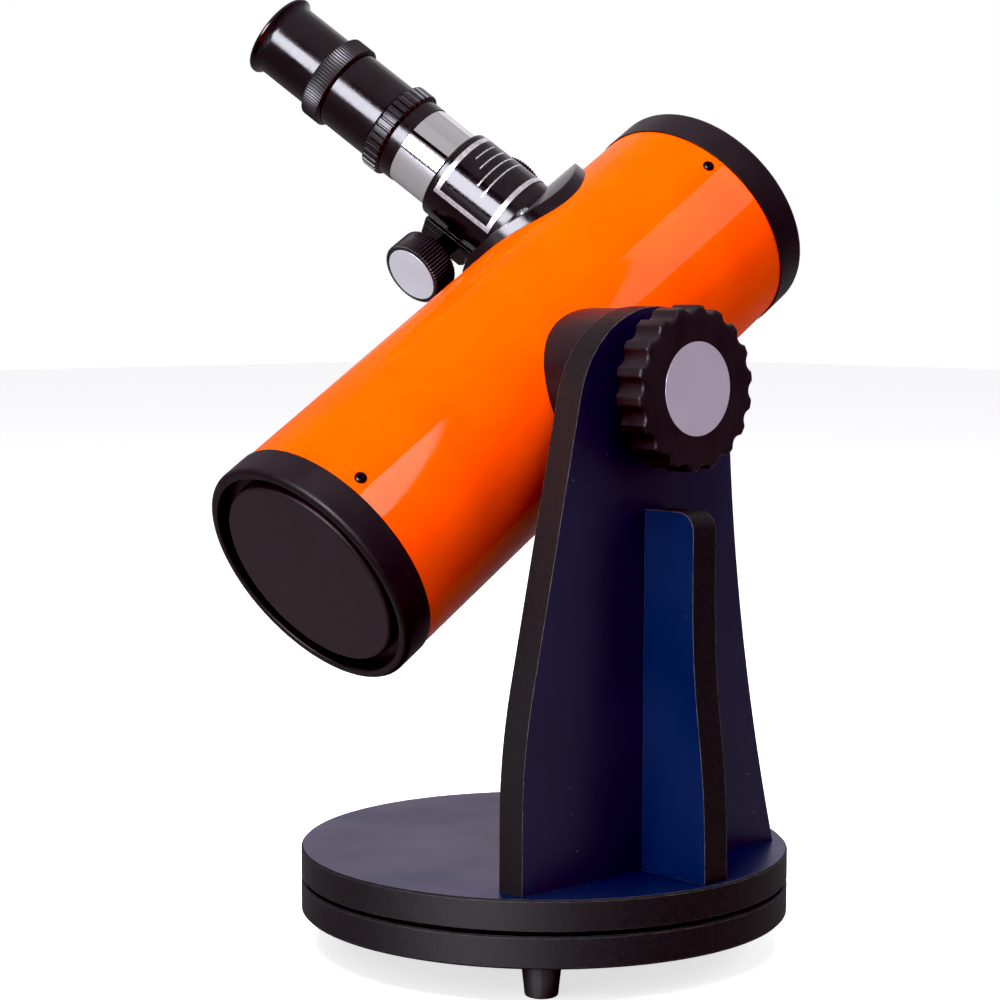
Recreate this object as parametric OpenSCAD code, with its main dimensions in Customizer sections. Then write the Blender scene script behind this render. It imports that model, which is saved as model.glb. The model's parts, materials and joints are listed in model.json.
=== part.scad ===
// Table-top newtonian reflector telescope on a one-arm board mount.
// Millimetres, +Z up. The origin is the centre of the base, on the floor. +X is the pointing
// direction seen from above, and the arm stands on the -Y side.

/* [Base] */
// Diameter of the two round boards
base_d = 190; // [186:1:204]
// Thickness of every board
board_t = 12; // [11:0.5:13]
// Gap between the ground board and the turning board
board_gap = 1.2; // [0.8:0.1:2]
// Height of the rubber feet
foot_h = 14; // [12:1:20]
// Distance of the feet from the centre
foot_ring_r = 78; // [60:1:80]
// Direction of the first foot
foot_first_angle = -134.5; // [-180:0.5:180]

/* [Arm] */
// Height of the altitude axis above the turning board
axis_rise = 180; // [174:1:190]
// Offset of the arm's centre line from the base centre
arm_x = -1.2; // [-4:0.1:4]
// Distance from the base centre to the inner face of the arm
arm_inner_y = 48.2; // [46:0.1:50]
// Half width of the arm's foot at the rear
arm_rear_w = 67.6; // [62:0.2:69]
// Half width of the arm's foot at the front
arm_front_w = 68.2; // [62:0.2:69]
// Radius of the arm's rounded top
arm_top_r = 40.4; // [38:0.2:44]
// How far the rounded top's centre lies below the altitude axis
arm_top_drop = 10.7; // [8:0.1:14]
// Height of the gusset behind the arm
gusset_h = 135.2; // [125:0.2:140]
// Depth of the gusset at its top
gusset_top_d = 24.3; // [23:0.1:26]
// Depth of the gusset at its foot
gusset_foot_d = 31.5; // [29:0.1:32]

/* [Tube] */
// Altitude angle of the tube at rest
rest_altitude = 32.67; // [0:0.01:60]
// Outer diameter of the tube
tube_d = 93.8; // [93:0.1:95]
// Wall of the tube
tube_wall = 1; // [0.8:0.1:1.2]
// Length of the tube in front of the altitude axis
tube_front = 111.2; // [110:0.1:116]
// Length of the tube behind the altitude axis
tube_rear = 113.8; // [113.8:0.1:118]
// Sideways place of the tube's axis
tube_y = 12.8; // [12.4:0.1:13.2]
// Visible length of the front ring
front_ring_l = 15.1; // [12:0.1:18]
// Visible length of the rear ring
rear_ring_l = 13.1; // [13:0.1:16]

/* [Optics] */
// Aperture, the diameter of the primary mirror
mirror_d = 76; // [72:1:76]
// Focal length of the primary mirror
focal_length = 300; // [290:1:320]
// Thickness of the primary mirror at its centre
mirror_t = 8; // [7:0.5:8]
// Short diameter of the secondary mirror
secondary_d = 30; // [26:1:32]

/* [Focuser] */
// Place of the focuser's axis along the tube
focuser_s = 59.35; // [56:0.05:60]
// Turn of the focuser around the tube, away from the arm
focuser_turn = 44.2; // [40:0.1:50]
// Outer diameter of the focuser's barrel
barrel_d = 39.2; // [39:0.1:40]
// Height of the barrel's mouth over the tube's axis
barrel_top = 85; // [84:0.1:87]
// Outer diameter of the drawtube
drawtube_d = 34.8; // [34.7:0.1:34.9]
// Height of the drawtube's mouth over the tube's axis at rest
drawtube_top = 103.9; // [103:0.1:106]
// Outer diameter of the eyepiece's push-in barrel
eyepiece_d = 31.75; // [31.7:0.01:31.8]
// Number of teeth of the focusing pinion
pinion_teeth = 12; // [12:2:12]
// Tooth module of the rack and pinion
tooth_module = 0.8; // [0.8:0.1:0.8]
// Diameter of the focusing knobs
focus_knob_d = 27.6; // [24:0.2:28]

/* [Grips] */
// Diameter of the tension knob
tension_knob_d = 60.8; // [56:0.2:64]
// Number of scallops around the tension knob
scallop_count = 18; // [12:1:20]
// Number of ribs around the eyepiece lock ring
lock_rib_count = 38; // [30:1:40]
// Number of ribs around the eyepiece grip ring
grip_rib_count = 90; // [60:1:100]
// Number of ribs around each focusing knob
focus_rib_count = 60; // [40:1:72]

/* [Hidden] */
$fn = 96;

navy = "#1d1b3d";
edge_black = "#1b181b";
black = "#1c191c";
satin_black = "#2b272b";
orange = "#ff7400";
silver = "#a79fb0";
steel = "#b9bcc2";
brass_tone = "#c9a24a";
cut = 1;
slack = 0.05;
m3_r = 1.25;
m3_clear_r = 1.6;

// Base levels
base_r = base_d / 2;
ground_z = foot_h;
turn_z = foot_h + board_t + board_gap;
deck_z = turn_z + board_t;
board_edge_r = 0.7;
foot_count = 3;
foot_top_r = 7.7;
foot_tip_r = 6.2;
foot_recess_r = 3.6;
foot_recess_h = 9;
foot_screw_head_h = 2.4;
foot_screw_l = 14;
pivot_r = 4;
bolt_head_h = 5.3;
bolt_head_r = 7.2;
bolt_recess_h = 6;
bolt_recess_r = 9.5;
washer_t = 1.6;
nut_h = 6.5;
nut_gap = 0.1;
pad_r = 9;
pad_ring_r = 70;
pad_first_angle = 45;

// Arm
arm_mid_y = -(arm_inner_y + board_t / 2);
arm_outer_y = arm_inner_y + board_t;
arm_lean = 12.4;
arm_fillet_r = 220;
arm_bow_h = 82;
arm_bow_w = 45.3;
arm_bow_top = 160;
board_screw_r = 2.5;
board_screw_head_r = 4.6;
board_screw_l = 36;
board_screw_x = 45;
gusset_screw_y = 76;
gusset_screw_heights = [38, 105];
gusset_corner_r = 7;
bush_r = 6.5;

// Tube
alt_z = deck_z + axis_rise;
tube_r = tube_d / 2;
bore_r = tube_r - tube_wall;
ring_proud = 0.5;
ring_round_r = 2;
ring_lip_r = 43.3;
spigot_l = 11;
spigot_clear = 0.05;
front_spigot_r = 44;
rear_spigot_r = 43.5;
front_screw_s = tube_front - 5.9;
rear_screw_s = -(tube_rear - 5.9);
ring_screw_angles = [-45, 75, 195];
ring_screw_head_r = 2.35;
ring_screw_head_h = 1.5;

// Altitude bearing, measured from the tube's axis towards the arm
arm_in_d = arm_inner_y + tube_y;
arm_out_d = arm_in_d + board_t;
boss_r = 28.9;
boss_gap = 0.8;
boss_d = arm_in_d - boss_gap;
boss_screw_x = 18;
insert_l = 9.2;
insert_r = 7;
stud_r = 4;
knob_r = tension_knob_d / 2;
knob_t = 13.2;
knob_back_d = arm_out_d + 7.3;
knob_front_d = knob_back_d + knob_t;
knob_hub_r = 13;
knob_round_r = 1.2;
knob_cap_r = 17.2;
knob_cap_t = 1.1;
knob_washer_t = 1.2;
scallop_r = 4;
scallop_depth = 2;
scallop_first_angle = 4.9;

// Primary mirror and its cell, measured along the tube
rear_end_s = -(tube_rear + rear_ring_l);
front_end_s = tube_front + front_ring_l;
focus_h = 135;
mirror_s = focuser_s + focus_h - focal_length;
mirror_r = mirror_d / 2;
mirror_back_s = mirror_s - mirror_t;
mirror_edge_s = mirror_s + 2 * focal_length - sqrt(pow(2 * focal_length, 2) - pow(mirror_r, 2));
pad_t = 1.5;
cell_front_s = mirror_back_s - pad_t;
cell_flange_t = 3;
cell_seat_s = cell_front_s - cell_flange_t;
cell_disc_r = 38.9;
cell_wall_r = 34.5;
cell_flange_r = 43.2;
cell_screw_r = 41.3;
cell_sink = 0.5;
clip_t = 1;
clip_w = 8;

// Spider and secondary mirror
hoop_r = front_spigot_r - 0.1;
hoop_wall = 1.7;
hub_r = 9;
hub_rear_s = front_screw_s - 13.3;
hub_front_s = front_screw_s - 1.3;
vane_t = 1.6;
secondary_t = 3;
holder_r = secondary_d / 2 - 0.5;
holder_front_s = hub_rear_s - 6;
collimation_r = 5.8;

// Focuser, measured from the tube's axis along the focuser's axis
barrel_r = barrel_d / 2;
flange_r = 33.9;
flange_t = 4;
barrel_foot = 40;
mouth_round_r = 1.4;
flange_core_low = 20;
flange_core_high = 60;
drawtube_r = drawtube_d / 2;
drawtube_bottom = 56;
focus_in = 18;
focus_out = 10;
eyepiece_r = eyepiece_d / 2;
draw_bore_r = eyepiece_r + slack;
tube_hole_r = 20.6;
spine_w = 12;
pitch_r = tooth_module * pinion_teeth / 2;
pitch_h = 71.1;
pinion_t = 23.7;
rack_bottom = drawtube_bottom + 1;
rack_top = 96;
rack_w = 6.9;
rack_floor_t = 16.6;
rack_room = 0.3;
rack_room_t = 20.3;
rack_add = 0.55;
rack_ded = 1;
pinion_add = 0.7;
pinion_ded = 0.9;
backlash = 0.1;
pressure_angle = 20;
shaft_r = 2.5;
pinion_w = 10;
spine_top = 84.6;
spine_groove_t = 16.2;
spine_groove_w = 3;
spine_groove_depth = 1.8;
cover_t = 7.2;
cover_bevel = 2;
cover_screw_x = 8.5;
cover_bottom = 61.5;
shaft_boss_r = 4.2;
shaft_boss_out = 21;
focus_knob_r = focus_knob_d / 2;
focus_knob_out = 36;
focus_knob_l = 12;
focus_rib_depth = 0.5;
focus_hub_r = 6;
focus_cap_r = 11.7;
focus_cap_t = 0.8;
label_low = 52.3;
label_high = 81.9;
label_t = 0.25;
label_from = -160;
label_sweep = 140;
flange_screw_angles = [-118, 2, 122];
flange_screw_ring_r = 29.5;
flange_screw_head_r = 2.9;

// Eyepiece and its holder
holder_sleeve_top = drawtube_top + 5.8;
lock_top = holder_sleeve_top + 8.6;
lock_r = 19.5;
nose_r = 17;
eye_bottom = 89;
body_base = lock_top + slack;
grip_low = 142.7;
grip_high = 152.4;
grip_r = 18.8;
eye_low_r = 17;
eye_high_r = 16;
rim_r = 18.1;
rim_top = 181.4;
rim_edge = 1.4;
rim_round_r = 0.8;
flare_r = 5;
eye_cup_bottom = rim_top - 7.4;
lens_seat = eye_cup_bottom - 6.2;
lens_stop_r = 9;
eye_seat_r = 9.85;
top_bore_r = 12.4;
eye_bore_r = 14;
socket_r = 15.4;
barrel_in_r = 14.6;
barrel_thread_l = 5;

// Points on an arc about (cx, cy)
function arc_pts(cx, cy, r, from, to, steps) =
  [for (i = [0:steps]) let (a = from + (to - from) * i / steps) [cx + r * cos(a), cy + r * sin(a)]];

// Points on a three-point curve
function bow_pts(p, q, r, steps) =
  [for (i = [0:steps]) let (t = i / steps) (1 - t) * (1 - t) * p + 2 * t * (1 - t) * q + t * t * r];

// Points on a four-point curve
function wave_pts(p, q, r, s, steps) =
  [for (i = [0:steps]) let (t = i / steps, k = 1 - t)
    k * k * k * p + 3 * k * k * t * q + 3 * k * t * t * r + t * t * t * s];

// Sag of a sphere of radius big at distance r from its axis
function sag(big, r) = big - sqrt(big * big - r * r);

// Involute of an angle, in degrees
function inv(a) = tan(a) * 180 / PI - a;

// Half angle of a pinion tooth at radius r
function tooth_half_angle(r) =
  let (base = pitch_r * cos(pressure_angle))
  90 / pinion_teeth - backlash / (2 * pitch_r) * 180 / PI + inv(pressure_angle)
  - (r > base ? inv(acos(base / r)) : 0);

// Outline with count ribs: r_out on the crests, r_in in the grooves
function rib_pts(count, r_out, r_in, crest, flank) =
  [for (i = [0:count - 1], k = [0:3])
    let (pitch = 360 / count,
         a = i * pitch + (k == 0 ? -crest / 2 : k == 1 ? crest / 2 : k == 2 ? crest / 2 + flank
             : pitch - crest / 2 - flank),
         r = k < 2 ? r_out : r_in)
    [r * cos(a), r * sin(a)]];

// Places: the tube's frame has X along the tube and Z up from its axis. The focuser's frame has
// Z along the focuser. facing_arm turns Z towards the arm.
module on_tube() {
  translate([arm_x, tube_y, alt_z]) rotate([0, -rest_altitude, 0]) children();
}

module on_focuser() {
  on_tube() rotate([-focuser_turn, 0, 0]) translate([focuser_s, 0, 0]) children();
}

module facing_arm() {
  on_tube() rotate([90, 0, 0]) children();
}

module at_axis() {
  translate([arm_x, tube_y, alt_z]) rotate([90, 0, 0]) children();
}

module around_tube(angle, s, r) {
  rotate([-angle, 0, 0]) translate([s, 0, r]) children();
}

module revolve(points) {
  rotate_extrude() polygon(points);
}

module revolve_x(points) {
  rotate([0, 90, 0]) rotate_extrude() polygon(points);
}

module ring(r_in, r_out, from, to) {
  difference() {
    translate([0, 0, from]) cylinder(r = r_out, h = to - from);
    translate([0, 0, from - cut]) cylinder(r = r_in, h = to - from + 2 * cut);
  }
}

module hole(r, from, to) {
  translate([0, 0, from]) cylinder(r = r, h = to - from);
}

// Domed screw with a cross recess: the head sits on z = 0, the shank goes down
module dome_screw(head_r, head_h, shank_r, shank_l) {
  slot_w = head_r * 0.3;
  slot_l = head_r * 1.2;
  difference() {
    rotate_extrude() polygon(concat([[0, 0]], [for (i = [0:6]) let (a = i * 15)
      [head_r * cos(a), head_h * sin(a)]]));
    for (turn = [0, 90]) rotate([0, 0, turn]) translate([-slot_l / 2, -slot_w / 2, head_h * 0.45])
      cube([slot_l, slot_w, head_h]);
  }
  translate([0, 0, -shank_l]) cylinder(r = shank_r, h = shank_l + head_h * 0.3);
}

// Countersunk screw: the head's face is at z = 0, the shank goes up
module sunk_screw(head_r, shank_r, length) {
  slot_w = head_r * 0.3;
  difference() {
    rotate_extrude() polygon([[0, 0], [head_r, 0], [head_r, 0.4], [shank_r, head_r - shank_r + 0.4],
      [shank_r, length - shank_r], [0, length]]);
    for (turn = [0, 90]) rotate([0, 0, turn]) translate([-head_r * 0.6, -slot_w / 2, -cut])
      cube([head_r * 1.2, slot_w, cut + 1]);
  }
}

// Cutter for sunk_screw, with room around it
module sunk_hole(head_r, shank_r, length) {
  rotate_extrude() polygon([[0, -cut], [head_r + slack, -cut], [head_r + slack, 0.4],
    [shank_r + slack, head_r - shank_r + 0.4], [shank_r + slack, length + slack], [0, length + slack]]);
}

module disc_board(z) {
  e = board_edge_r;
  translate([0, 0, z]) revolve([[0, 0], [base_r - e, 0], [base_r, e], [base_r, board_t - e],
    [base_r - e, board_t], [0, board_t]]);
}

module at_feet() {
  for (i = [0:foot_count - 1]) rotate([0, 0, foot_first_angle + i * 360 / foot_count])
    translate([foot_ring_r, 0, 0]) children();
}

module ground_board() {
  color(edge_black) difference() {
    disc_board(ground_z);
    hole(pivot_r + slack, ground_z - cut, ground_z + board_t + cut);
    hole(bolt_recess_r, ground_z - cut, ground_z + bolt_recess_h);
    at_feet() hole(m3_r + slack, ground_z - cut, ground_z + foot_screw_l - foot_h + foot_recess_h + cut);
  }
}

module rubber_feet() {
  color(black) at_feet() difference() {
    revolve(concat([[0, 0]], arc_pts(foot_tip_r - 1, 1, 1, -90, 0, 4), [[foot_top_r, foot_h], [0, foot_h]]));
    hole(foot_recess_r, -cut, foot_recess_h);
    hole(m3_r + slack, 0, foot_h + cut);
  }
}

module foot_screws() {
  color(steel) at_feet() translate([0, 0, foot_recess_h]) mirror([0, 0, 1])
    dome_screw(3, foot_screw_head_h, m3_r, foot_screw_l);
}

module pivot_bolt() {
  head_z = ground_z + bolt_recess_h - bolt_head_h;
  color(steel) union() {
    translate([0, 0, head_z]) cylinder(r = bolt_head_r, h = bolt_head_h, $fn = 6);
    hole(pivot_r, head_z, deck_z + washer_t + nut_gap + nut_h + 1.5);
  }
}

module pivot_nut() {
  low = deck_z + washer_t + nut_gap;
  color(steel) difference() {
    translate([0, 0, low]) cylinder(r = bolt_head_r, h = nut_h, $fn = 6);
    hole(pivot_r + 0.02, low - cut, low + nut_h + cut);
  }
}

module glide_pads() {
  color("ivory") for (i = [0:foot_count - 1]) rotate([0, 0, pad_first_angle + i * 360 / foot_count])
    translate([pad_ring_r, 0, 0]) hole(pad_r, ground_z + board_t, turn_z - slack);
}

module at_board_screws() {
  for (x = [-board_screw_x, board_screw_x]) translate([arm_x + x, arm_mid_y, turn_z]) children();
  translate([arm_x, -gusset_screw_y, turn_z]) children();
}

module at_gusset_screws() {
  for (h = gusset_screw_heights) translate([arm_x, -arm_inner_y, deck_z + h]) rotate([90, 0, 0]) children();
}

module board_screw_holes() {
  at_board_screws() sunk_hole(board_screw_head_r, board_screw_r, board_screw_l);
}

module gusset_screw_holes() {
  at_gusset_screws() sunk_hole(board_screw_head_r, board_screw_r, board_screw_l - 6);
}

module turntable_board() {
  color(navy) difference() {
    disc_board(turn_z);
    hole(bush_r, turn_z - cut, deck_z + cut);
    board_screw_holes();
  }
}

module pivot_bush() {
  color("ivory") ring(pivot_r + slack, bush_r - 0.02, turn_z + slack, deck_z);
}

module pivot_washer() {
  color(steel) ring(pivot_r + 0.3, 9, deck_z, deck_z + washer_t);
}

module pivot_cap() {
  wall = 1.8;
  cap_r = 12;
  cap_h = 13;
  color(black) translate([0, 0, deck_z]) revolve(concat(
    [[cap_r - wall, 0], [cap_r, 0]], arc_pts(cap_r - 4, cap_h - 4, 4, 0, 90, 8),
    [[0, cap_h], [0, cap_h - wall], [cap_r - wall - 2, cap_h - wall], [cap_r - wall, cap_h - wall - 2]]));
}

module arm_outline() {
  top_c = axis_rise - arm_top_drop;
  tangent = [-arm_top_r * cos(arm_lean), top_c + arm_top_r * sin(arm_lean)];
  corner_z = tangent[1] - (arm_rear_w + tangent[0]) / tan(arm_lean);
  run = arm_fillet_r * tan(arm_lean / 2);
  polygon(concat(
    [[-arm_rear_w, 0]],
    arc_pts(arm_fillet_r - arm_rear_w, corner_z - run, arm_fillet_r, 180, 180 - arm_lean, 8),
    arc_pts(0, top_c, arm_top_r, 180 - arm_lean, 0, 36),
    bow_pts([arm_top_r, arm_bow_top], [arm_bow_w, arm_bow_h], [arm_front_w, 0], 14)));
}

module side_arm() {
  color(navy) difference() {
    translate([arm_x, -arm_inner_y, deck_z]) rotate([90, 0, 0]) linear_extrude(board_t) arm_outline();
    at_axis() hole(bush_r, arm_in_d - cut, arm_out_d + cut);
    board_screw_holes();
    gusset_screw_holes();
  }
}

module gusset_outline() {
  r = gusset_corner_r;
  polygon(concat(
    [[0, 0]],
    wave_pts([gusset_foot_d, 0], [gusset_foot_d, 58], [gusset_top_d, 52], [gusset_top_d, 112], 16),
    arc_pts(gusset_top_d - r, gusset_h - r, r, 0, 90, 8),
    [[0, gusset_h]]));
}

module arm_gusset() {
  color("#0a1450") difference() {
    translate([arm_x + board_t / 2, -arm_outer_y, deck_z]) rotate([90, 0, -90])
      linear_extrude(board_t) gusset_outline();
    board_screw_holes();
    gusset_screw_holes();
  }
}

module board_screws() {
  color(steel) at_board_screws() sunk_screw(board_screw_head_r, board_screw_r, board_screw_l);
}

module gusset_screws() {
  color(steel) at_gusset_screws() sunk_screw(board_screw_head_r, board_screw_r, board_screw_l - 6);
}

module altitude_bush() {
  color("ivory") at_axis() ring(stud_r + slack, bush_r - 0.02, arm_in_d + slack, arm_out_d - slack);
}

module at_ring_screws() {
  for (s = [front_screw_s, rear_screw_s], a = ring_screw_angles) around_tube(a, s, tube_r) children();
}

module at_boss_screws() {
  for (x = [-boss_screw_x, boss_screw_x]) rotate([90, 0, 0]) translate([x, 0, 0]) children();
}

// Flange screws stand square on the tube, in the focuser's frame
module at_flange_screws() {
  for (a = flange_screw_angles) {
    side = flange_screw_ring_r * sin(a);
    rotate([-asin(side / (tube_r + flange_t)), 0, 0])
      translate([flange_screw_ring_r * cos(a), 0, 0]) children();
  }
}

module main_tube() {
  color(orange) on_tube() difference() {
    rotate([0, 90, 0]) ring(bore_r, tube_r, -tube_rear, tube_front);
    at_ring_screws() hole(m3_r + slack, -4, 4);
    at_boss_screws() hole(m3_r + slack, bore_r - 4, tube_r + 4);
    rotate([-focuser_turn, 0, 0]) translate([focuser_s, 0, 0]) {
      hole(tube_hole_r, 20, 60);
      at_flange_screws() hole(m3_r + slack, bore_r - 4, tube_r + 4);
    }
  }
}

module front_ring() {
  r_out = tube_r + ring_proud;
  q = ring_round_r;
  color(satin_black) on_tube() difference() {
    revolve_x(concat(
      [[front_spigot_r, tube_front - spigot_l], [bore_r - spigot_clear, tube_front - spigot_l],
       [bore_r - spigot_clear, tube_front], [r_out, tube_front]],
      arc_pts(r_out - q, front_end_s - q, q, 0, 90, 8),
      arc_pts(ring_lip_r + 0.8, front_end_s - 0.8, 0.8, 90, 180, 4),
      [[ring_lip_r, tube_front + 1], [front_spigot_r, tube_front]]));
    at_ring_screws() hole(m3_r + slack, -8, 4);
  }
}

module rear_ring() {
  r_out = tube_r + ring_proud;
  q = ring_round_r;
  flange_front = cell_seat_s;
  flange_back = flange_front - 4;
  color(satin_black) on_tube() difference() {
    revolve_x(concat(
      [[rear_spigot_r, spigot_l - tube_rear], [rear_spigot_r, flange_front],
       [cell_disc_r + 0.3, flange_front], [cell_disc_r + 0.3, flange_back], [ring_lip_r, flange_back]],
      arc_pts(ring_lip_r + 0.8, rear_end_s + 0.8, 0.8, 180, 270, 4),
      arc_pts(r_out - q, rear_end_s + q, q, 270, 360, 8),
      [[r_out, -tube_rear], [bore_r - spigot_clear, -tube_rear],
       [bore_r - spigot_clear, spigot_l - tube_rear]]));
    at_ring_screws() hole(m3_r + slack, -8, 4);
    at_cell_screws(flange_back) hole(m3_r + slack, -cut, 8);
  }
}

module ring_screws() {
  color(black) on_tube() at_ring_screws() dome_screw(ring_screw_head_r, ring_screw_head_h, m3_r, 3.2);
}

module altitude_boss() {
  e = 1.5;
  color(satin_black) facing_arm() difference() {
    revolve(concat([[0, 30], [boss_r, 30]], arc_pts(boss_r - e, boss_d - e, e, 0, 90, 6), [[0, boss_d]]));
    rotate([0, 90, 0]) translate([0, 0, -60]) cylinder(r = tube_r + 0.02, h = 120);
    hole(insert_r + 0.02, boss_d - insert_l, boss_d + cut);
    hole(stud_r + 0.3, boss_d - insert_l - 2, boss_d);
    for (x = [-boss_screw_x, boss_screw_x]) translate([x, 0, 0]) hole(m3_r + slack, tube_r - 2, tube_r + 9);
  }
}

module boss_insert() {
  color(brass_tone) facing_arm() ring(stud_r + slack, insert_r, boss_d - insert_l, boss_d);
}

module boss_screws() {
  color(steel) on_tube() at_boss_screws() translate([0, 0, bore_r - 0.15]) mirror([0, 0, 1])
    dome_screw(3, 2, m3_r, 9);
}

module friction_washer() {
  color("ivory") facing_arm() ring(insert_r + 1, 24, boss_d + 0.02, arm_in_d - slack);
}

module at_cell_screws(s) {
  for (i = [0:5]) rotate([i * 60, 0, 0]) translate([s, 0, cell_screw_r]) rotate([0, 90, 0]) children();
}

module mirror_cell() {
  back = rear_end_s + cell_sink;
  skin = 3;
  q = 1.4;
  color(satin_black) on_tube() difference() {
    revolve_x(concat(
      [[0, back + skin], [0, back]], arc_pts(cell_disc_r - q, back + q, q, 270, 360, 6),
      [[cell_disc_r, cell_seat_s], [cell_flange_r, cell_seat_s], [cell_flange_r, cell_front_s],
       [cell_wall_r, cell_front_s], [cell_wall_r, back + skin]]));
    at_cell_screws(cell_seat_s) hole(m3_r + slack, -cut, cell_flange_t + cut);
  }
}

module mirror_pads() {
  sweep = 40;
  color("dimgray") on_tube() for (i = [0:2]) rotate([i * 120, 0, 0]) translate([cell_front_s, 0, 0])
    rotate([0, 90, 0]) rotate([0, 0, 180 - sweep / 2]) rotate_extrude(angle = sweep)
      translate([cell_wall_r + 0.5, 0.01]) square([2.4, pad_t - 0.02]);
}

module primary_mirror() {
  big = 2 * focal_length;
  color("lightsteelblue") on_tube() revolve_x(concat(
    [[0, mirror_back_s], [mirror_r - 0.5, mirror_back_s], [mirror_r, mirror_back_s + 0.5],
     [mirror_r, mirror_edge_s - 0.3]],
    [for (i = [12:-1:0]) let (r = (mirror_r - 0.3) * i / 12) [r, mirror_s + sag(big, r)]]));
}

module mirror_clips() {
  foot_l = cell_flange_r - mirror_r - 0.3;
  hook_s = mirror_edge_s + 0.05;
  color(steel) on_tube() for (i = [0:2]) rotate([i * 120, 0, 0]) difference() {
    translate([0, -clip_w / 2, 0]) union() {
      translate([cell_front_s, 0, mirror_r + 0.3]) cube([clip_t, clip_w, foot_l]);
      translate([cell_front_s, 0, mirror_r + 0.3]) cube([hook_s + clip_t - cell_front_s, clip_w, 0.9]);
      translate([hook_s, 0, mirror_r - 1.5]) cube([clip_t, clip_w, 2.7]);
    }
    translate([cell_front_s, 0, cell_screw_r]) rotate([0, 90, 0]) hole(m3_r + slack, -cut, clip_t + cut);
  }
}

module cell_screws() {
  color(steel) on_tube() for (i = [0:5]) rotate([i * 60, 0, 0])
    translate([cell_front_s + (i % 2 == 0 ? clip_t : 0), 0, cell_screw_r]) rotate([0, 90, 0])
      dome_screw(1.75, 1.4, m3_r, 6.2);
}

module spider() {
  vane_low = hub_r - 0.5;
  vane_high = hoop_r - hoop_wall / 2;
  color(satin_black) on_tube() difference() {
    union() {
      rotate([0, 90, 0]) ring(2.05, hub_r, hub_rear_s, hub_front_s);
      rotate([0, 90, 0]) ring(hoop_r - hoop_wall, hoop_r, front_screw_s - 7.3, front_screw_s + 2.7);
      for (i = [0:2]) rotate([i * 120, 0, 0]) translate([hub_rear_s + 2, -vane_t / 2, vane_low])
        cube([hub_front_s - hub_rear_s - 2, vane_t, vane_high - vane_low]);
    }
    at_ring_screws() hole(m3_r + slack, -6, 4);
    at_collimation() hole(m3_r + slack, hub_rear_s - cut, hub_front_s + cut);
  }
}

module at_collimation() {
  for (i = [0:2]) rotate([60 + i * 120, 0, 0]) translate([0, 0, collimation_r]) rotate([0, 90, 0]) children();
}

module collimation_screws() {
  color(steel) on_tube() at_collimation() translate([0, 0, hub_front_s])
    dome_screw(2.1, 1.8, m3_r, hub_front_s - holder_front_s - 0.02);
}

module secondary_bolt() {
  color(steel) on_tube() rotate([0, 90, 0]) translate([0, 0, hub_front_s])
    dome_screw(3.2, 2.6, 2, hub_front_s - holder_front_s + 8);
}

// Turns Z to the secondary mirror's normal, half way between the primary and the focuser
module on_secondary() {
  rotate([0, -45, 0]) children();
}

module secondary_holder() {
  half = 40;
  color(satin_black) on_focuser() difference() {
    intersection() {
      rotate([0, 90, 0]) hole(holder_r, -holder_r * 2, holder_front_s - focuser_s);
      on_secondary() translate([-half, -half, -2 * half - secondary_t]) cube(2 * half);
    }
    rotate([0, 90, 0]) hole(2.05, holder_front_s - focuser_s - 9, holder_front_s - focuser_s + cut);
  }
}

module secondary_mirror() {
  half = 40;
  color("lightsteelblue") on_focuser() intersection() {
    rotate([0, 90, 0]) hole(secondary_d / 2, -half, half);
    on_secondary() translate([-half, -half, -secondary_t]) cube([2 * half, 2 * half, secondary_t]);
  }
}

module tube_core(r) {
  rotate([0, 90, 0]) translate([0, 0, -90]) cylinder(r = r, h = 180);
}

module focuser_body() {
  seat_r = tube_r + 0.02;
  e = mouth_round_r;
  color(black) on_focuser() difference() {
    union() {
      intersection() {
        hole(flange_r, flange_core_low, flange_core_high);
        tube_core(tube_r + flange_t);
      }
      revolve(concat([[0, barrel_foot], [barrel_r, barrel_foot]],
        arc_pts(barrel_r - e, barrel_top - e, e, 0, 90, 6), [[0, barrel_top]]));
      translate([-spine_w, 0, barrel_foot]) cube([2 * spine_w, pinion_t, spine_top - barrel_foot]);
    }
    tube_core(seat_r);
    hole(drawtube_r + slack, flange_core_low, barrel_top + cut);
    translate([-rack_w / 2 - rack_room, 0, flange_core_low])
      cube([rack_w + 2 * rack_room, rack_room_t, barrel_top]);
    for (side = [0, 1]) mirror([side, 0, 0])
      translate([spine_w - spine_groove_depth, spine_groove_t, cover_bottom - 2])
        cube([spine_groove_depth + cut, spine_groove_w, spine_top]);
    pinion_room();
    at_cover_screws() hole(m3_r + slack, -8, cut);
    at_flange_screws() hole(m3_r + slack, tube_r - 4, tube_r + 8);
    at_flange_screws() hole(flange_screw_head_r + 0.3, tube_r + flange_t - 0.7, tube_r + flange_t + 6);
  }
}

// Cavity for the pinion and its shaft
module pinion_room() {
  translate([0, pinion_t, pitch_h]) rotate([0, 90, 0]) {
    translate([0, 0, -pinion_w / 2 - 0.4]) cylinder(r = pitch_r + 1.2, h = pinion_w + 0.8);
    translate([0, 0, -30]) cylinder(r = shaft_r + slack, h = 60);
  }
}

module at_cover_screws() {
  for (x = [-cover_screw_x, cover_screw_x], h = [cover_bottom + 3, spine_top - 3]) translate([x, pinion_t, h])
    rotate([-90, 0, 0]) children();
}

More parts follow.
